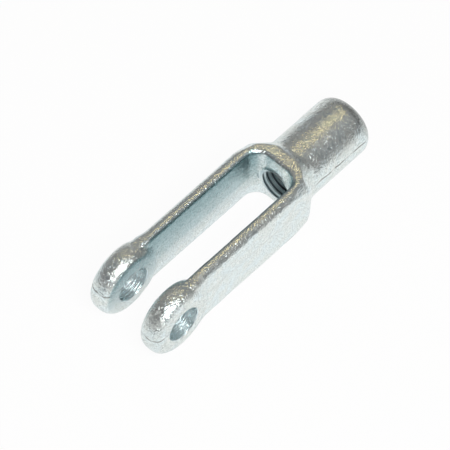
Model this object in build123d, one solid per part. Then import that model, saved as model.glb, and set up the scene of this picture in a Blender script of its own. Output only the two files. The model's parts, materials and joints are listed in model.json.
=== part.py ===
from build123d import *
import math
import os

# Forged clevis rod end, one solid.
# Origin: middle of the pin axis. +X runs along the shank, Y is the pin axis, Z = 0 is the forging's
# parting plane. All lengths are in millimetres and all angles in degrees.

# Pin end
pin_diameter = 10.0
pin_clearance = 0.1
pin_mouth_diameter = 10.6
pin_mouth_angle = 90.0
ear_gap = 10.5
ear_thickness = 6.8
ear_rise = 0.8
ear_rim_depth = 2.2
ear_rim_width = 2.9

# Arms
arm_setback = 1.85
arm_thickness = 3.7
arm_rise = 0.95
arm_outer_edge_radius = 2.3
arm_inner_edge_radius = 1.3
ear_blend_radius = 12.0
ear_flare_radius = 12.0
ear_flare_depth = 0.6
slot_draft = 6.0

# Crown
slot_depth = 47.4
slot_corner_radius = 3.0
crown_thickness = 5.4
crown_corner_radius = 6.5
shoulder_length = 10.8
brow_length = 4.6
brow_drop = 1.2
shoulder_step = 0.5
shoulder_clearance = 0.1

# Shank
shank_diameter = 17.3
pin_to_shank_end = 75.0
shank_end_length = 3.8
shank_end_drop = 3.3
shank_root_radius = 3.0

# Threaded hole for the rod, at the thread's inner diameter
thread_diameter = 10.0
thread_pitch = 1.5
slot_mouth_diameter = 10.6
slot_mouth_angle = 120.0
shank_mouth_diameter = 10.4
shank_mouth_angle = 90.0

# Derived places
thread_depth = 5 / 8 * math.sqrt(3) / 2 * thread_pitch
pin_bore_radius = (pin_diameter + pin_clearance) / 2
thread_bore_radius = thread_diameter / 2 - thread_depth
shank_radius = shank_diameter / 2
half_height = shank_radius + arm_rise
ear_radius = half_height + ear_rise
ear_inside = ear_gap / 2
ear_outside = ear_inside + ear_thickness
arm_inside = ear_inside + arm_setback
arm_outside = arm_inside + arm_thickness
slot_lean = half_height * math.tan(math.radians(slot_draft))
crown_back = slot_depth + crown_thickness
clear_of_part = 2 * pin_to_shank_end
clear_radius = 2 * ear_outside
touching = 1e-3


def both_sides(half, plane):
    """A half shape together with its mirror image."""
    return half + mirror(half, plane)


def ear():
    """Round ear on the +Y side: a thick disc turned about the pin axis, its two rims rounded."""
    flat_radius = ear_radius - ear_rim_depth
    inner_rim_centre = (flat_radius, ear_inside + ear_rim_width)
    outer_rim_centre = (flat_radius, ear_outside - ear_rim_width)
    inner_rim = EllipticalCenterArc(inner_rim_centre, ear_rim_depth, ear_rim_width, 270, arc_size=90)
    outer_rim = EllipticalCenterArc(outer_rim_centre, ear_rim_depth, ear_rim_width, 0, arc_size=90)
    crest = Line(inner_rim @ 1, outer_rim @ 0)
    faces = Polyline(outer_rim @ 1, (0, ear_outside), (0, ear_inside), inner_rim @ 0)
    return revolve(make_face([inner_rim, crest, outer_rim, faces]), Axis.Y)


def plan_face():
    """Outer outline of arms and crown seen from above, with a smooth flare out to the ears."""
    flare_out = ear_outside - ear_flare_depth
    step = flare_out - arm_outside
    run = math.sqrt(step * (4 * ear_flare_radius - step))
    start = ear_radius / 2
    halfway = (start + run / 2, arm_outside + step / 2)
    arm_start = (start + run, arm_outside)
    corner_start = (crown_back - crown_corner_radius, arm_outside)
    corner_end = (crown_back, arm_outside - crown_corner_radius)
    ear_line = Line((0, flare_out), (start, flare_out))
    turn_in = TangentArc([ear_line @ 1, halfway], tangent=(1, 0))
    turn_back = TangentArc([halfway, arm_start], tangent=turn_in % 1)
    arm_line = Line(arm_start, corner_start)
    corner = TangentArc([corner_start, corner_end], tangent=(1, 0))
    back_line = Line(corner_end, (crown_back, 0))
    middle_line = Line((crown_back, 0), (0, 0))
    front_line = Line((0, 0), (0, flare_out))
    outline = [front_line, ear_line, turn_in, turn_back, arm_line, corner, back_line, middle_line]
    return both_sides(make_face(outline), Plane.XZ)


def side_face():
    """Outline of the fork seen from the side, with a dip where the arm leaves the ear."""
    crest = ear_radius - ear_flare_depth / 2
    reach = crest + ear_blend_radius
    rise = half_height + ear_blend_radius
    dip_middle = (math.sqrt(reach**2 - rise**2), rise)
    meet = (dip_middle[0] * crest / reach, rise * crest / reach)
    land = (dip_middle[0], half_height)
    crest_arc = RadiusArc((0, crest), meet, crest)
    dip = TangentArc([meet, land], tangent=crest_arc % 1)
    top_line = Line(land, (crown_back, half_height))
    back_line = Line((crown_back, half_height), (crown_back, 0))
    middle_line = Line((crown_back, 0), (0, 0))
    front_line = Line((0, 0), (0, crest))
    outline = [front_line, crest_arc, dip, top_line, back_line, middle_line]
    return both_sides(make_face(outline), Plane.XZ)


def slot():
    """Space between the arms, widening from the parting plane upwards and downwards."""
    end = slot_depth - slot_lean
    width = 2 * (arm_inside - slot_lean)
    outline = Pos(end - clear_of_part / 2, 0) * Rectangle(clear_of_part, width)
    outline = fillet(outline.vertices().group_by(Axis.X)[-1], slot_corner_radius)
    return both_sides(extrude(outline, clear_radius, taper=-slot_draft), Plane.XY)


def is_rim(edge):
    """True for an edge that runs along a wall at the top or bottom of the fork."""
    middle = edge @ 0.5
    start = edge @ 0
    end = edge @ 1
    across_arm = abs(start.X - end.X) < touching and middle.X < slot_depth - touching
    return abs(middle.Z) > half_height - touching and not across_arm


def is_outer(edge):
    """True for an edge on the outside of the arms or crown."""
    middle = edge @ 0.5
    past_slot = middle.X > slot_depth + touching
    return abs(middle.Y) > arm_outside - touching or past_slot


def fork():
    """Arms and crown as one U, rounded along its outer and inner edges."""
    block = extrude(plan_face(), clear_radius, both=True)
    profile = extrude(Plane.XZ * side_face(), clear_radius, both=True)
    body = (block & profile) - slot()
    outer = body.edges().filter_by(is_rim).filter_by(is_outer)
    body = fillet(outer, arm_outer_edge_radius)
    inner = body.edges().filter_by(is_rim).filter_by(lambda edge: abs((edge @ 0).Y) < arm_inside + touching)
    return fillet(inner, arm_inner_edge_radius)


def shank():
    """Round shank turned about its axis, with a well rounded end, reaching into the crown."""
    start = slot_depth + crown_thickness / 2
    end_centre = (pin_to_shank_end - shank_end_length, shank_radius - shank_end_drop)
    side = Line((start, shank_radius), (end_centre[0], shank_radius))
    end = EllipticalCenterArc(end_centre, shank_end_length, shank_end_drop, 0, arc_size=90)
    face = Polyline(end @ 0, (pin_to_shank_end, 0), (start, 0), (start, shank_radius))
    return revolve(make_face([side, end, face]), Axis.X)


def shoulders():
    """Everything inside the two cones that bring the crown's four corners down to the shank."""
    inset = arm_outer_edge_radius * (1 - math.sqrt(0.5))
    start_radius = math.hypot(arm_outside - inset, half_height - inset) + shoulder_clearance
    end_radius = shank_radius + shoulder_step
    start = (crown_back - shoulder_length, start_radius)
    end = (crown_back, end_radius)
    neck_end = (crown_back + shank_root_radius, end_radius)
    brow = (crown_back - brow_length, start_radius - brow_drop)
    outside = Polyline(start, brow, end, neck_end)
    back = Polyline(neck_end, (neck_end[0], clear_radius), (pin_to_shank_end, clear_radius), (pin_to_shank_end, 0))
    middle = Line((pin_to_shank_end, 0), (0, 0))
    front = Polyline((0, 0), (0, clear_radius), (start[0], clear_radius), start)
    return revolve(make_face([outside, back, middle, front]), Axis.X)


def is_root(edge):
    """True for an edge where the round shank leaves the crown."""
    points = [edge @ 0, edge @ 0.5, edge @ 1]
    on_round = all(abs(math.hypot(point.Y, point.Z) - shank_radius) < touching for point in points)
    at_crown = slot_depth + crown_thickness / 2 + touching < points[1].X < crown_back + touching
    return on_round and at_crown


def forging():
    """Fork, shank and ears as one piece, with a rounded corner where the shank leaves the crown."""
    body = fork() + shank()
    body = fillet(body.edges().filter_by(is_root), shank_root_radius)
    body = body & shoulders()
    return body + both_sides(ear(), Plane.XZ)


def countersink(radius, mouth_radius, angle, place):
    """Cone that widens a hole to the mouth radius, on a face at the origin of its place, facing +Z."""
    slope = math.tan(math.radians(angle / 2))
    depth = (mouth_radius - radius) / slope
    return place * Cone(radius, mouth_radius + depth * slope, 2 * depth)


def pin_bore():
    """Bore for the pin through both ears, its four edges just broken."""
    bore = Rot(90, 0, 0) * Cylinder(pin_bore_radius, clear_of_part)
    for face in (ear_outside, ear_inside):
        for side in (1, -1):
            outward = 1 if face == ear_outside else -1
            place = Pos(0, side * face, 0) * Rot(-90 * side * outward, 0, 0)
            bore += countersink(pin_bore_radius, pin_mouth_diameter / 2, pin_mouth_angle, place)
    return bore


def rod_bore():
    """Tapped hole right through the shank into the slot, widened at both mouths."""
    start = slot_depth - slot_lean - crown_thickness
    bore = Pos(start + clear_of_part / 2, 0, 0) * Rot(0, 90, 0) * Cylinder(thread_bore_radius, clear_of_part)
    shank_mouth = Pos(pin_to_shank_end, 0, 0) * Rot(0, 90, 0)
    bore += countersink(thread_bore_radius, shank_mouth_diameter / 2, shank_mouth_angle, shank_mouth)
    slot_mouth = Pos(slot_depth - slot_lean, 0, 0) * Rot(0, -90, 0)
    bore += countersink(thread_bore_radius, slot_mouth_diameter / 2, slot_mouth_angle, slot_mouth)
    return bore


os.makedirs("parts", exist_ok=True)
rod_end = forging() - pin_bore() - rod_bore()
rod_end.label = "clevis_rod_end"
export_step(rod_end, "parts/clevis_rod_end.step")
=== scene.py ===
import json
import math

import bmesh
import bpy
import numpy as np
from mathutils import Matrix, Vector, noise


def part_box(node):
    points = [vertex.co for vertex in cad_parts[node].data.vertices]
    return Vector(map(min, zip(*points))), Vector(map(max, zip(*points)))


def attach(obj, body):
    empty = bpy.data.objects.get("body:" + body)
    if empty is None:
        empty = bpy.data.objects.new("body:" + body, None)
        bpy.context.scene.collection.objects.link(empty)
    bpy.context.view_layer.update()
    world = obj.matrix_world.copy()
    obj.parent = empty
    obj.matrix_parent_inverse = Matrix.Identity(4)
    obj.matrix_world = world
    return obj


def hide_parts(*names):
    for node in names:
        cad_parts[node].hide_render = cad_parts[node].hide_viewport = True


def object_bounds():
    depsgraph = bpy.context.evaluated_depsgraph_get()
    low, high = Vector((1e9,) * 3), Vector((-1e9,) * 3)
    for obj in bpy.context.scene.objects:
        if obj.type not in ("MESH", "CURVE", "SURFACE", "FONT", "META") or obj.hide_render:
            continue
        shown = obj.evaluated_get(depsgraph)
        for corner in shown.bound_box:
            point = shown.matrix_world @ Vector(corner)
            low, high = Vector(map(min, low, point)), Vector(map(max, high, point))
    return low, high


# Looks of a zinc plated, drop forged clevis rod end. Lengths are in metres, angles in degrees.
# The forging's skin is made from a copy of the CAD solid: its holes are filled, it is meshed evenly
# and given the small unevenness of a forging. The holes and the thread are then cut into it again.

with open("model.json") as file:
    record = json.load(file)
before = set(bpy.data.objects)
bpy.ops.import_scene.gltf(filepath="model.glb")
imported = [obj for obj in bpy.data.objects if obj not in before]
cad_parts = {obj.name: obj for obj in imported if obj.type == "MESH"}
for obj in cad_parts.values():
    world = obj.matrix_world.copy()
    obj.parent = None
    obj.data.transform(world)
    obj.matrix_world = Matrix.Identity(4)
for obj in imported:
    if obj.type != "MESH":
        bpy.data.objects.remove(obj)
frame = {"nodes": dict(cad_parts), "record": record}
cad_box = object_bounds()
NODE = "clevis_rod_end"
MM = 0.001

# Sizes from the record and the solid's box, and two of the solid's own that neither of them gives
mounts = {mount["name"]: mount for mount in frame["record"]["mounts"]}
PIN_BORE_RADIUS = mounts["pin_bore"]["dims"]["r_mm"] * MM
THREAD_INNER_RADIUS = mounts["rod_thread"]["dims"]["r_mm"] * MM
solid_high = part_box(NODE)[1]
EAR_OUTSIDE = solid_high.y
SHANK_END = solid_high.x
EAR_INSIDE = 5.25 * MM
SLOT_END = 46.39 * MM

# Machined details, the angles across the whole cone
PIN_MOUTH_RADIUS = 5.3 * MM
SLOT_MOUTH_RADIUS = 5.3 * MM
SHANK_MOUTH_RADIUS = 5.2 * MM
THREAD_OUTER_RADIUS = 5.0 * MM
THREAD_PITCH = 1.5 * MM
PIN_MOUTH_ANGLE = 90
SLOT_MOUTH_ANGLE = 120
SHANK_MOUTH_ANGLE = 90

# Camera: the view that the fork, the two pin holes and the threaded hole agree on.
# AIM is the point of the object that shows at the pixel AIM_PX.
IMAGE_WIDTH_PX = 450
SENSOR_MM = 36.0
CLIP_NEAR, CLIP_FAR = 0.1, 20.0
VIEW_AZIMUTH = 41.20
VIEW_ELEVATION = 56.17
VIEW_ROLL = 1.94
VIEW_PX_PER_M = 3953.0
VIEW_DISTANCE = 2.0
AIM = Vector((31.65, 0.0, 0.0)) * MM
AIM_PX = (234.48, 221.00)


def look_axes(azimuth, elevation, roll):
    """Unit vectors towards the camera, to its right and up, for a camera on the -X, -Y side."""
    az, el, turn = (math.radians(a) for a in (azimuth, elevation, roll))
    back = Vector((-math.cos(el) * math.cos(az), -math.cos(el) * math.sin(az), math.sin(el)))
    right = Vector((math.sin(az), -math.cos(az), 0.0))
    up = back.cross(right)
    rolled_right = math.cos(turn) * right + math.sin(turn) * up
    rolled_up = math.cos(turn) * up - math.sin(turn) * right
    return back, rolled_right, rolled_up


def add_camera():
    """The photograph's view, taken from far enough off to be nearly parallel."""
    back, right, up = look_axes(VIEW_AZIMUTH, VIEW_ELEVATION, VIEW_ROLL)
    middle = IMAGE_WIDTH_PX / 2
    across = (AIM_PX[0] - middle) / VIEW_PX_PER_M
    upward = (middle - AIM_PX[1]) / VIEW_PX_PER_M
    data = bpy.data.cameras.new("camera")
    data.sensor_width = SENSOR_MM
    data.lens = VIEW_PX_PER_M * VIEW_DISTANCE * SENSOR_MM / IMAGE_WIDTH_PX
    data.clip_start = CLIP_NEAR
    data.clip_end = CLIP_FAR
    camera = bpy.data.objects.new("camera", data)
    bpy.context.scene.collection.objects.link(camera)
    place = AIM - across * right - upward * up + VIEW_DISTANCE * back
    camera.matrix_world = Matrix.Translation(place) @ Matrix((right, up, back)).transposed().to_4x4()
    bpy.context.scene.camera = camera


# ---- Mesh of the forging ----

VOXEL = 0.33 * MM
# Each round of smoothing pulls a point towards its neighbours' mean and then pushes it back a little
# further, which keeps the volume.
SMOOTHING_ROUNDS = 5
SMOOTHING_STEPS = (0.5, -0.52)
SWELL_SIZE, SWELL_DEPTH = 7.0 * MM, 0.12 * MM
DIMPLE_SIZE, DIMPLE_DEPTH = 1.7 * MM, 0.07 * MM
DIMPLE_SHIFT = Vector((9, 5, 2))
# The dies part at a height that rises towards +Y, and below it the skin lies back by the step
PARTING_HEIGHT, PARTING_SLOPE = 2.6 * MM, 0.1
PARTING_STEP, PARTING_WIDTH = 0.07 * MM, 0.15 * MM
WANDER_SIZE, WANDER_DEPTH = 6 * MM, 0.3 * MM
EXPONENT_LIMIT = 30
# Round the pin holes the skin is nearly even, and at the outer of these radii as uneven as elsewhere
PIN_FACE_RADII = (5.8 * MM, 8.5 * MM)
PIN_FACE_SHARE = 0.2
BOX_MARGIN = 1e-6
TURNED_SIDES = 128
THREAD_STEPS = 96
TIP_SHARE = 0.7
SHARP_ANGLE = 35
# Turns that point a turned solid's own +Z axis along these directions
TURNS = {
    "+X": Matrix.Rotation(math.radians(90), 4, "Y"),
    "-X": Matrix.Rotation(math.radians(-90), 4, "Y"),
    "+Y": Matrix.Rotation(math.radians(-90), 4, "X"),
    "-Y": Matrix.Rotation(math.radians(90), 4, "X"),
}


def new_object(name, mesh):
    piece = bpy.data.objects.new(name, mesh)
    bpy.context.scene.collection.objects.link(piece)
    return piece


def turned(name, profile, place):
    """Closed solid turned about its own Z axis from (radius, height) points, then put at its place."""
    maker = bmesh.new()
    rings = []
    for radius, height in profile:
        ring = []
        for side in range(TURNED_SIDES):
            angle = 2 * math.pi * side / TURNED_SIDES
            ring.append(maker.verts.new((radius * math.cos(angle), radius * math.sin(angle), height)))
        rings.append(ring)
    for low, high in zip(rings, rings[1:]):
        for side in range(TURNED_SIDES):
            after = (side + 1) % TURNED_SIDES
            maker.faces.new((low[side], low[after], high[after], high[side]))
    maker.faces.new(reversed(rings[0]))
    maker.faces.new(rings[-1])
    mesh = bpy.data.meshes.new(name)
    maker.to_mesh(mesh)
    maker.free()
    mesh.transform(place)
    return new_object(name, mesh)


def evaluated_mesh(piece):
    bpy.context.view_layer.update()
    graph = bpy.context.evaluated_depsgraph_get()
    return bpy.data.meshes.new_from_object(piece.evaluated_get(graph))


def remove(piece):
    mesh = piece.data
    bpy.data.objects.remove(piece)
    bpy.data.meshes.remove(mesh)


def filled_forging():
    """The CAD solid with its holes filled, in even faces about a voxel across."""
    maker = bmesh.new()
    maker.from_mesh(frame["nodes"][NODE].data)
    ear_plug = [(PIN_MOUTH_RADIUS, EAR_INSIDE), (PIN_MOUTH_RADIUS, EAR_OUTSIDE)]
    other_ear_plug = [(radius, -height) for radius, height in reversed(ear_plug)]
    thread_plug = [(SHANK_MOUTH_RADIUS, SLOT_END), (SHANK_MOUTH_RADIUS, SHANK_END)]
    plugs = [
        turned("plug", ear_plug, TURNS["+Y"]),
        turned("plug", other_ear_plug, TURNS["+Y"]),
        turned("plug", thread_plug, TURNS["+X"]),
    ]
    for plug in plugs:
        maker.from_mesh(plug.data)
        remove(plug)
    mesh = bpy.data.meshes.new("forging")
    maker.to_mesh(mesh)
    maker.free()
    piece = new_object("forging", mesh)
    even = piece.modifiers.new("even", "REMESH")
    even.mode = "VOXEL"
    even.voxel_size = VOXEL
    even.adaptivity = 0.0
    skin = evaluated_mesh(piece)
    remove(piece)
    return new_object(NODE + "_forging", skin)


def vertex_values(mesh, name):
    """One row of three numbers for each vertex: its "co" or its "normal"."""
    values = np.empty(len(mesh.vertices) * 3, np.float32)
    mesh.vertices.foreach_get(name, values)
    return values.reshape(-1, 3).astype(float)


def set_points(mesh, points):
    mesh.vertices.foreach_set("co", points.astype(np.float32).ravel())
    mesh.update()


def neighbours_mean(points, edges):
    """For each point, the mean of the points that an edge joins it to."""
    total = np.zeros_like(points)
    count = np.zeros(len(points))
    for start, end in ((0, 1), (1, 0)):
        np.add.at(total, edges[:, start], points[edges[:, end]])
        np.add.at(count, edges[:, start], 1)
    return total / count[:, None]


def smoothed(mesh):
    """The mesh's points after the rounds of smoothing."""
    edges = np.empty(len(mesh.edges) * 2, np.int32)
    mesh.edges.foreach_get("vertices", edges)
    edges = edges.reshape(-1, 2)
    points = vertex_values(mesh, "co")
    for _ in range(SMOOTHING_ROUNDS):
        for step in SMOOTHING_STEPS:
            points = points + step * (neighbours_mean(points, edges) - points)
    return points


def parting_height(points):
    """Height of the dies' parting line, which rises a little from the -Y side to the +Y side."""
    wander = np.array([noise.noise(Vector((x, y, 0.0)) / WANDER_SIZE) for x, y, _ in points])
    return PARTING_HEIGHT + PARTING_SLOPE * points[:, 1] + WANDER_DEPTH * wander


def forged(mesh):
    """Points of a forging's skin: swells, dimples and the dies' small mismatch, all of them inwards."""
    points = smoothed(mesh)
    set_points(mesh, points)
    swell = np.array([noise.noise(Vector(point) / SWELL_SIZE) for point in points])
    dimple = np.array([noise.noise(Vector(point) / DIMPLE_SIZE + DIMPLE_SHIFT) for point in points])
    above = points[:, 2] - parting_height(points)
    exponent = np.clip(-above / PARTING_WIDTH, -EXPONENT_LIMIT, EXPONENT_LIMIT)
    share_above = 1 / (1 + np.exp(exponent))
    inwards = (SWELL_DEPTH * (0.5 + 0.5 * swell) + DIMPLE_DEPTH * (0.5 + 0.5 * dimple)
               + PARTING_STEP * (1 - share_above))
    from_pin = np.hypot(points[:, 0], points[:, 2])
    unevenness = np.interp(from_pin, PIN_FACE_RADII, (PIN_FACE_SHARE, 1.0))
    points = points - (unevenness * inwards)[:, None] * vertex_values(mesh, "normal")
    low, high = np.array(cad_box[0]), np.array(cad_box[1])
    return np.clip(points, low + BOX_MARGIN, high - BOX_MARGIN)


def thread_cutter():
    """Helical cutter of an M10 x 1.5 nut thread, longer than the bore.

    Each row is the thread's profile at one angle, and its corners' places are shares of a pitch.
    """
    start = SLOT_END - 2 * THREAD_PITCH
    turns = math.ceil((SHANK_END - start) / THREAD_PITCH) + 2
    low, high = THREAD_INNER_RADIUS, THREAD_OUTER_RADIUS
    profile = [(0, low), (1 / 4, low), (9 / 16, high), (11 / 16, high)]
    maker = bmesh.new()
    rows = []
    for step in range(THREAD_STEPS * turns + 1):
        angle = 2 * math.pi * step / THREAD_STEPS
        row = []
        for share, radius in profile:
            along = start + THREAD_PITCH * (step / THREAD_STEPS + share)
            row.append(maker.verts.new((along, radius * math.cos(angle), radius * math.sin(angle))))
        rows.append(row)
    for row, after in zip(rows, rows[1:]):
        for corner in range(len(profile) - 1):
            maker.faces.new((row[corner], row[corner + 1], after[corner + 1], after[corner]))
    for step in range(THREAD_STEPS * (turns - 1)):
        here, there = rows[step], rows[step + THREAD_STEPS]
        onward, beyond = rows[step + 1], rows[step + THREAD_STEPS + 1]
        maker.faces.new((here[-1], there[0], beyond[0], onward[-1]))
    first = maker.verts.new((start - THREAD_PITCH, 0, 0))
    loop = [row[0] for row in rows[:THREAD_STEPS + 1]] + rows[0][::-1]
    for one, two in zip(loop, loop[1:]):
        maker.faces.new((one, two, first))
    last = maker.verts.new((start + (turns + 1) * THREAD_PITCH, 0, 0))
    tail = rows[-THREAD_STEPS - 1:]
    loop = [row[-1] for row in tail] + rows[-1][-2::-1] + [tail[0][-1]]
    for one, two in zip(loop, loop[1:]):
        maker.faces.new((two, one, last))
    bmesh.ops.recalc_face_normals(maker, faces=maker.faces)
    mesh = bpy.data.meshes.new("thread")
    maker.to_mesh(mesh)
    maker.free()
    return new_object("thread", mesh)


def countersink_cutter(name, radius, mouth_radius, angle, place):
    """Cone of a countersink: its tip is well inside the drilled hole, so no two cutters share a face."""
    slope = math.tan(math.radians(angle / 2))
    tip_radius = TIP_SHARE * radius
    tip = (tip_radius, (tip_radius - mouth_radius) / slope)
    reach_out = (mouth_radius - radius) / slope
    return turned(name, [tip, (mouth_radius, 0.0), (mouth_radius, reach_out)], place)


def pin_cutters():
    """The cross bore, and the countersink at each of its four mouths."""
    reach = 2 * EAR_OUTSIDE
    cutters = [turned("pin_drill", [(PIN_BORE_RADIUS, -reach), (PIN_BORE_RADIUS, reach)], TURNS["+Y"])]
    for y, facing in ((EAR_OUTSIDE, "+Y"), (-EAR_OUTSIDE, "-Y"), (EAR_INSIDE, "-Y"), (-EAR_INSIDE, "+Y")):
        place = Matrix.Translation((0, y, 0)) @ TURNS[facing]
        cutters.append(countersink_cutter(
            "pin_mouth", PIN_BORE_RADIUS, PIN_MOUTH_RADIUS, PIN_MOUTH_ANGLE, place))
    return cutters


def tapping_cutters():
    """The thread, and the countersinks at the slot and at the shank's end."""
    cutters = [thread_cutter()]
    for name, x, facing, mouth_radius, angle in (
            ("slot_mouth", SLOT_END, "-X", SLOT_MOUTH_RADIUS, SLOT_MOUTH_ANGLE),
            ("shank_mouth", SHANK_END, "+X", SHANK_MOUTH_RADIUS, SHANK_MOUTH_ANGLE)):
        place = Matrix.Translation((x, 0, 0)) @ TURNS[facing]
        cutters.append(countersink_cutter(name, THREAD_INNER_RADIUS, mouth_radius, angle, place))
    return cutters


def machining_cutters():
    """Every cutter, each with the material that it leaves behind."""
    pin, tapping = pin_cutters(), tapping_cutters()
    for cutters, material in ((pin, bored), (tapping, tapped)):
        for cutter in cutters:
            cutter.data.materials.append(material)
    return pin + tapping


def cut(piece, cutters):
    """Take all the cutters out of the piece at once, and delete them."""
    tray = bpy.data.collections.new("cutters")
    bpy.context.scene.collection.children.link(tray)
    for cutter in cutters:
        tray.objects.link(cutter)
    drill = piece.modifiers.new("machining", "BOOLEAN")
    drill.operation = "DIFFERENCE"
    drill.solver = "EXACT"
    drill.operand_type = "COLLECTION"
    drill.collection = tray
    drill.material_mode = "TRANSFER"
    mesh = evaluated_mesh(piece)
    piece.modifiers.clear()
    bpy.data.collections.remove(tray)
    old = piece.data
    piece.data = mesh
    bpy.data.meshes.remove(old)
    for cutter in cutters:
        remove(cutter)


def add_rod_end():
    """The one visible piece, which stands for the CAD node."""
    piece = filled_forging()
    piece.data.materials.clear()
    piece.data.materials.append(forging_skin)
    set_points(piece.data, forged(piece.data))
    cut(piece, machining_cutters())
    piece.name = "rod_end"
    mesh = piece.data
    mesh.polygons.foreach_set("use_smooth", [True] * len(mesh.polygons))
    mesh.set_sharp_from_angle(angle=math.radians(SHARP_ANGLE))
    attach(piece, "root")
    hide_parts(NODE)


# ---- Materials ----

BRIGHT_ZINC = (0.83, 0.92, 0.93)
WARM_ZINC = (0.86, 0.91, 0.88)
# Painted shade: the slot's walls darker and bluer
PAINTED_SLOT_SHADE = (0.41, 0.56, 0.59)
DULL_ZINC = (0.62, 0.74, 0.77)
# Painted shade on the upper side of the shank's end
PAINTED_END_SHADE = (0.42, 0.44, 0.43)
# Painted shade deep in the tapped hole
PAINTED_DEEP_SHADE = (0.16, 0.19, 0.19)
# Darker where the grain is low: partly the skin's speckled tone, partly painted shade in its hollows
SPECKLE_AND_PIT_SHADE = (0.72, 0.75, 0.75)
# Painted shade in the thread's roots
PAINTED_ROOT_SHADE = (0.17, 0.21, 0.23)
# Painted shade along the dies' step
PAINTED_FLASH_SHADE = (0.20, 0.20, 0.18)

# Ranges of a noise's value, which lies mostly between 0.3 and 0.7
WIDE_RANGE, NARROW_RANGE = (0.3, 0.7), (0.35, 0.65)

# The forging's skin: a stain under a fine grain and wider pits, all weaker on the arms than on the ears
STAIN_SIZE = 5 * MM
GRAIN_SIZE, PIT_SIZE = 0.38 * MM, 0.9 * MM
GRAIN_DEPTH = PIT_DEPTH = 0.20 * MM
GRAIN_FADE, ARM_GRAIN_SHARE = (4 * MM, 12 * MM), 0.6
# Grain values that are darkened: partly the skin's speckled tone, partly painted shade in its hollows
SPECKLE_AND_PIT_SHADE_RANGE = (0.35, 0.55)
FORGED_ROUGHNESS = (0.20, 0.30)

# Painted shade in the slot: its walls darker and bluer towards their upper edge, over a half width that
# grows from the ears to the arms
FLARE = (4 * MM, 9 * MM)
EAR_GAP, ARM_GAP = EAR_INSIDE + 0.2 * MM, 7.4 * MM
SLOT_SHADE_FADE = 0.5 * MM
SLOT_SHADE_END = (SLOT_END - 1 * MM, SLOT_END + 1 * MM)
SLOT_SHADE_HEIGHTS = (-9 * MM, 9 * MM)

# The flash line, a dark line of painted shade along the dies' step: how far it wanders, where it breaks
# off, and its half thickness
FLASH_WANDER_SIZE, FLASH_WANDER = 2.5 * MM, 1.2 * MM
FLASH_BREAK_SIZE, FLASH_BREAK_RANGE, FLASH_FAINTEST = 3.5 * MM, (0.38, 0.55), 0.25
FLASH_EDGE = (0.05 * MM, 0.3 * MM)
# It shows little on the arms, and fades over these lengths at both of their ends
ARMS_START, ARMS_END = (-6 * MM, 0.0), (48 * MM, 54 * MM)
ARMS_FADE = 0.85

# Painted shade on the upper side of the shank's end, and the holes
END_SHADE_LENGTH, END_SHADE_HEIGHT = (70.5 * MM, 74 * MM), (0.0, 6 * MM)
MARKS_SIZE, MARKS_SQUEEZE = 0.38 * MM, 0.12
DEEP_SHADE_FADE = (SLOT_END + 6 * MM, SLOT_END + 14 * MM)
ROOT_RADII = (4.55 * MM, 4.95 * MM)
ROOT_START = (SLOT_END + 0.2 * MM, SLOT_END + 0.7 * MM)


def nodes_of(owner):
    """The emptied node tree of a material or world."""
    owner.use_nodes = True
    tree = owner.node_tree
    tree.nodes.clear()
    return tree


def add(tree, kind, **values):
    node = tree.nodes.new(kind)
    for name, value in values.items():
        setattr(node, name, value)
    return node


def noise_node(tree, coordinates, size, detail=2.0, roughness=0.5):
    """Noise with features about size metres across."""
    node = add(tree, "ShaderNodeTexNoise")
    node.inputs["Scale"].default_value = 1 / size
    node.inputs["Detail"].default_value = detail
    node.inputs["Roughness"].default_value = roughness
    tree.links.new(coordinates, node.inputs["Vector"])
    return node.outputs["Fac"]


def ramp(tree, value, stops):
    """Colour of a value from (place, colour) stops."""
    node = add(tree, "ShaderNodeValToRGB")
    elements = node.color_ramp.elements
    while len(elements) < len(stops):
        elements.new(0.5)
    for element, (place, colour) in zip(elements, stops):
        element.position = place
        element.color = (*colour, 1.0)
    tree.links.new(value, node.inputs["Fac"])
    return node.outputs["Color"]


def blend(tree, share, low, high, kind="MIX"):
    """Colour between low and high, either of them a socket or a colour."""
    node = add(tree, "ShaderNodeMix", data_type="RGBA", blend_type=kind)
    tree.links.new(share, node.inputs["Factor"])
    for name, value in (("A", low), ("B", high)):
        socket = next(s for s in node.inputs if s.name == name and s.type == "RGBA")
        if isinstance(value, tuple):
            socket.default_value = (*value, 1.0)
        else:
            tree.links.new(value, socket)
    return next(s for s in node.outputs if s.type == "RGBA")


def maths(tree, operation, *values):
    """Maths on sockets and numbers."""
    node = add(tree, "ShaderNodeMath", operation=operation)
    for place, value in enumerate(values):
        if isinstance(value, (int, float)):
            node.inputs[place].default_value = value
        else:
            tree.links.new(value, node.inputs[place])
    return node.outputs[0]


def mapped(tree, value, low, high, start=0.0, end=1.0):
    """The value's place between low and high, eased, as a number between start and end."""
    node = add(tree, "ShaderNodeMapRange", interpolation_type="SMOOTHSTEP")
    tree.links.new(value, node.inputs["Value"])
    for name, number in (("From Min", low), ("From Max", high), ("To Min", start), ("To Max", end)):
        node.inputs[name].default_value = number
    return node.outputs["Result"]


def bump(tree, height, depth, strength=None, normal=None):
    """Normal of a relief that deep, laid over another normal if there is one."""
    node = add(tree, "ShaderNodeBump")
    node.inputs["Strength"].default_value = 1.0
    if strength is not None:
        tree.links.new(strength, node.inputs["Strength"])
    node.inputs["Distance"].default_value = depth
    tree.links.new(height, node.inputs["Height"])
    if normal is not None:
        tree.links.new(normal, node.inputs["Normal"])
    return node.outputs["Normal"]


def stretched(tree, coordinates, scale):
    node = add(tree, "ShaderNodeVectorMath", operation="MULTIPLY")
    tree.links.new(coordinates, node.inputs[0])
    node.inputs[1].default_value = scale
    return node.outputs[0]


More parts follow.
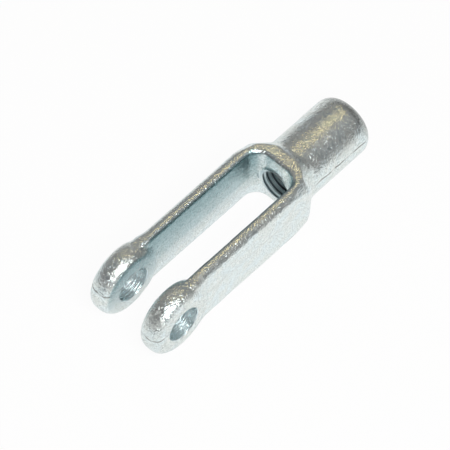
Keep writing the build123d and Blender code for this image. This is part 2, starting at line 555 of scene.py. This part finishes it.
def metal(name):
    """A metal material with its shader, and the place on the object as a vector and as three numbers."""
    material = bpy.data.materials.new(name)
    tree = nodes_of(material)
    coordinates = add(tree, "ShaderNodeTexCoord").outputs["Object"]
    split = add(tree, "ShaderNodeSeparateXYZ")
    tree.links.new(coordinates, split.inputs[0])
    shader = add(tree, "ShaderNodeBsdfPrincipled")
    shader.inputs["Metallic"].default_value = 1.0
    output = add(tree, "ShaderNodeOutputMaterial")
    tree.links.new(shader.outputs["BSDF"], output.inputs["Surface"])
    return material, tree, shader, coordinates, split.outputs


def slot_shade_share(tree, place):
    """1 on the slot's walls near their upper edge, 0 outside the slot and at its lower edge: where the
    walls get painted shade.
    """
    half_gap = mapped(tree, place["X"], *FLARE, EAR_GAP, ARM_GAP)
    beyond = maths(tree, "SUBTRACT", maths(tree, "ABSOLUTE", place["Y"]), half_gap)
    between_walls = mapped(tree, beyond, 0.0, SLOT_SHADE_FADE, 1.0, 0.0)
    before_end = mapped(tree, place["X"], *SLOT_SHADE_END, 1.0, 0.0)
    upwards = mapped(tree, place["Z"], *SLOT_SHADE_HEIGHTS)
    return maths(tree, "MULTIPLY", maths(tree, "MULTIPLY", between_walls, before_end), upwards)


def flash_share(tree, coordinates, place):
    """1 on the ragged line along the dies' step that is painted dark as shade, which is faint along the
    arms.
    """
    wander = noise_node(tree, coordinates, FLASH_WANDER_SIZE, 3.0, 0.6)
    line = maths(tree, "MULTIPLY_ADD", place["Y"], PARTING_SLOPE, PARTING_HEIGHT)
    line = maths(tree, "ADD", line, maths(tree, "MULTIPLY_ADD", wander, FLASH_WANDER, -FLASH_WANDER / 2))
    away = maths(tree, "ABSOLUTE", maths(tree, "SUBTRACT", place["Z"], line))
    near = mapped(tree, away, *FLASH_EDGE, 1.0, 0.0)
    gaps = noise_node(tree, coordinates, FLASH_BREAK_SIZE, 2.0)
    unbroken = mapped(tree, gaps, *FLASH_BREAK_RANGE, FLASH_FAINTEST, 1.0)
    flash = maths(tree, "MULTIPLY", near, unbroken)
    arms = maths(tree, "MULTIPLY", mapped(tree, place["X"], *ARMS_START),
                 mapped(tree, place["X"], *ARMS_END, 1.0, 0.0))
    return maths(tree, "MULTIPLY", flash, maths(tree, "MULTIPLY_ADD", arms, -ARMS_FADE, 1.0))


def end_shade_share(tree, place):
    """1 on the upper side of the shank's rounded end, which is painted darker as painted shade."""
    return maths(tree, "MULTIPLY", mapped(tree, place["X"], *END_SHADE_LENGTH),
                 mapped(tree, place["Z"], *END_SHADE_HEIGHT))


def forged_zinc():
    """Bright zinc with a pale blue passivation over a forging's fine grain, and painted shade in the slot,
    along the flash line, on the shank's upper end and in the grain's hollows.
    """
    material, tree, shader, coordinates, place = metal("zinc_forged")
    stain = noise_node(tree, coordinates, STAIN_SIZE, 4.0, 0.6)
    grain = noise_node(tree, coordinates, GRAIN_SIZE)
    pits = noise_node(tree, coordinates, PIT_SIZE, 1.0)
    colour = blend(tree, mapped(tree, stain, *NARROW_RANGE), BRIGHT_ZINC, WARM_ZINC)
    # Painted shade: the slot's walls darker and bluer towards their upper edge
    colour = blend(tree, slot_shade_share(tree, place), colour, PAINTED_SLOT_SHADE)
    # Painted shade: a dark ragged line along the dies' step
    colour = blend(tree, flash_share(tree, coordinates, place), colour, PAINTED_FLASH_SHADE)
    # Painted shade: the upper side of the shank's end darker
    colour = blend(tree, end_shade_share(tree, place), colour, PAINTED_END_SHADE)
    # Darker in the grain's hollows: partly the skin's speckled tone, partly painted shade
    speckles_and_pit_shade = mapped(tree, grain, *SPECKLE_AND_PIT_SHADE_RANGE, 1.0, 0.0)
    colour = blend(tree, speckles_and_pit_shade, colour, SPECKLE_AND_PIT_SHADE, "MULTIPLY")
    tree.links.new(colour, shader.inputs["Base Color"])
    roughness = mapped(tree, stain, *WIDE_RANGE, *FORGED_ROUGHNESS)
    tree.links.new(roughness, shader.inputs["Roughness"])
    strength = mapped(tree, place["X"], *GRAIN_FADE, 1.0, ARM_GRAIN_SHARE)
    normal = bump(tree, grain, GRAIN_DEPTH, strength)
    normal = bump(tree, pits, PIT_DEPTH, strength, normal)
    tree.links.new(normal, shader.inputs["Normal"])
    return material


def thread_darkened(tree, coordinates, place, colour):
    """The colour with painted shade deep in the tapped hole and in the thread's roots."""
    # Painted shade: darker deeper in the tapped hole
    colour = blend(tree, mapped(tree, place["X"], *DEEP_SHADE_FADE), colour, PAINTED_DEEP_SHADE)
    radius = add(tree, "ShaderNodeVectorMath", operation="LENGTH")
    tree.links.new(stretched(tree, coordinates, (0.0, 1.0, 1.0)), radius.inputs[0])
    # Painted shade: darker in the thread's roots
    in_roots = maths(tree, "MULTIPLY", mapped(tree, radius.outputs["Value"], *ROOT_RADII),
                     mapped(tree, place["X"], *ROOT_START))
    return blend(tree, in_roots, colour, PAINTED_ROOT_SHADE)


def turned_zinc(name, along, depth, roughness, darkened=None):
    """Zinc over turning marks that run round a bore; darkened adds painted shade, if it has any."""
    material, tree, shader, coordinates, place = metal(name)
    scale = [MARKS_SQUEEZE] * 3
    scale["XYZ".index(along)] = 1.0
    marks = noise_node(tree, stretched(tree, coordinates, scale), MARKS_SIZE, 3.0, 0.6)
    colour = blend(tree, mapped(tree, marks, *WIDE_RANGE), DULL_ZINC, BRIGHT_ZINC)
    if darkened:
        colour = darkened(tree, coordinates, place, colour)
    tree.links.new(colour, shader.inputs["Base Color"])
    tree.links.new(mapped(tree, marks, *WIDE_RANGE, *roughness), shader.inputs["Roughness"])
    tree.links.new(bump(tree, marks, depth), shader.inputs["Normal"])
    return material


# ---- Floor, room and lamps ----

FLOOR_SIZE = 6.0
FLOOR_GREY = 0.9
CAMERA_GLOW, REFLECTED_GLOW = 0.95, 0.8
LAMP_DISTANCE = 1.0
# The room's grey by height, from straight out and below (0) to straight up (1)
ROOM_GREYS = [
    (0.0, (0.60, 0.60, 0.60)),
    (0.05, (0.34, 0.33, 0.33)),
    (0.4, (0.32, 0.31, 0.31)),
    (1.0, (0.40, 0.38, 0.37)),
]
ROOM_PATCH_SIZE, ROOM_PATCHES = 0.3, (0.55, 0.55, 0.54)
EAR_SIDE, EAR_SIDE_SHADE = (-0.9, -0.3), (0.5, 0.5, 0.52)


def glow_share(tree):
    """How much of the floor glows plain white: nearly all for camera rays, less in reflections."""
    path = add(tree, "ShaderNodeLightPath").outputs
    total = maths(tree, "MULTIPLY", path["Is Camera Ray"], CAMERA_GLOW)
    for name in ("Is Glossy Ray", "Is Transmission Ray"):
        total = maths(tree, "MAXIMUM", total, maths(tree, "MULTIPLY", path[name], REFLECTED_GLOW))
    return total


def floor_material():
    """Pale paper that keeps the object's shadow and shows white to the camera."""
    material = bpy.data.materials.new("white_floor")
    tree = nodes_of(material)
    paper = add(tree, "ShaderNodeBsdfDiffuse")
    paper.inputs["Color"].default_value = (FLOOR_GREY, FLOOR_GREY, FLOOR_GREY, 1.0)
    glow = add(tree, "ShaderNodeEmission")
    glow.inputs["Strength"].default_value = 1.0
    mix = add(tree, "ShaderNodeMixShader")
    tree.links.new(glow_share(tree), mix.inputs["Fac"])
    tree.links.new(paper.outputs[0], mix.inputs[1])
    tree.links.new(glow.outputs[0], mix.inputs[2])
    output = add(tree, "ShaderNodeOutputMaterial")
    tree.links.new(mix.outputs[0], output.inputs["Surface"])
    return material


def add_floor():
    bpy.ops.mesh.primitive_plane_add(size=FLOOR_SIZE, location=(0, 0, cad_box[0][2]))
    floor = bpy.context.object
    floor.name = "floor"
    floor.data.materials.append(floor_material())


def add_world():
    """A grey room: mottled, darker on the ears' side, and palest where it meets the floor."""
    world = bpy.data.worlds.new("studio")
    bpy.context.scene.world = world
    tree = nodes_of(world)
    direction = add(tree, "ShaderNodeTexCoord").outputs["Generated"]
    split = add(tree, "ShaderNodeSeparateXYZ")
    tree.links.new(direction, split.inputs[0])
    sky = ramp(tree, split.outputs["Z"], ROOM_GREYS)
    patches = mapped(tree, noise_node(tree, direction, ROOM_PATCH_SIZE, 1.0), *NARROW_RANGE)
    sky = blend(tree, patches, sky, ROOM_PATCHES, "MULTIPLY")
    ear_side = mapped(tree, split.outputs["X"], *EAR_SIDE, 1.0, 0.0)
    sky = blend(tree, ear_side, sky, EAR_SIDE_SHADE, "MULTIPLY")
    background = add(tree, "ShaderNodeBackground")
    tree.links.new(sky, background.inputs["Color"])
    background.inputs["Strength"].default_value = 1.0
    output = add(tree, "ShaderNodeOutputWorld")
    tree.links.new(background.outputs[0], output.inputs["Surface"])


def add_lamp(name, direction, size, power, colour=(1.0, 1.0, 1.0)):
    """Round lamp that faces the object from the given direction."""
    data = bpy.data.lights.new(name, "AREA")
    data.shape = "DISK"
    data.size = size
    data.energy = power
    data.color = colour
    lamp = bpy.data.objects.new(name, data)
    bpy.context.scene.collection.objects.link(lamp)
    towards = Vector(direction).normalized()
    lamp.location = AIM + towards * LAMP_DISTANCE
    lamp.rotation_euler = towards.to_track_quat("Z", "Y").to_euler()


forging_skin = forged_zinc()
bored = turned_zinc("zinc_bored", "Y", depth=0.32 * MM, roughness=(0.28, 0.18))
tapped = turned_zinc("zinc_tapped", "X", depth=0.05 * MM, roughness=(0.55, 0.45), darkened=thread_darkened)
add_camera()
add_floor()
add_world()
add_lamp("key", direction=(-0.28, -0.50, 0.82), size=0.5, power=7.0)
add_lamp("warm", direction=(0.419, 0.217, 0.882), size=0.12, power=0.37, colour=(1.0, 0.78, 0.34))
add_rod_end()

bpy.context.scene.view_settings.view_transform = "Standard"
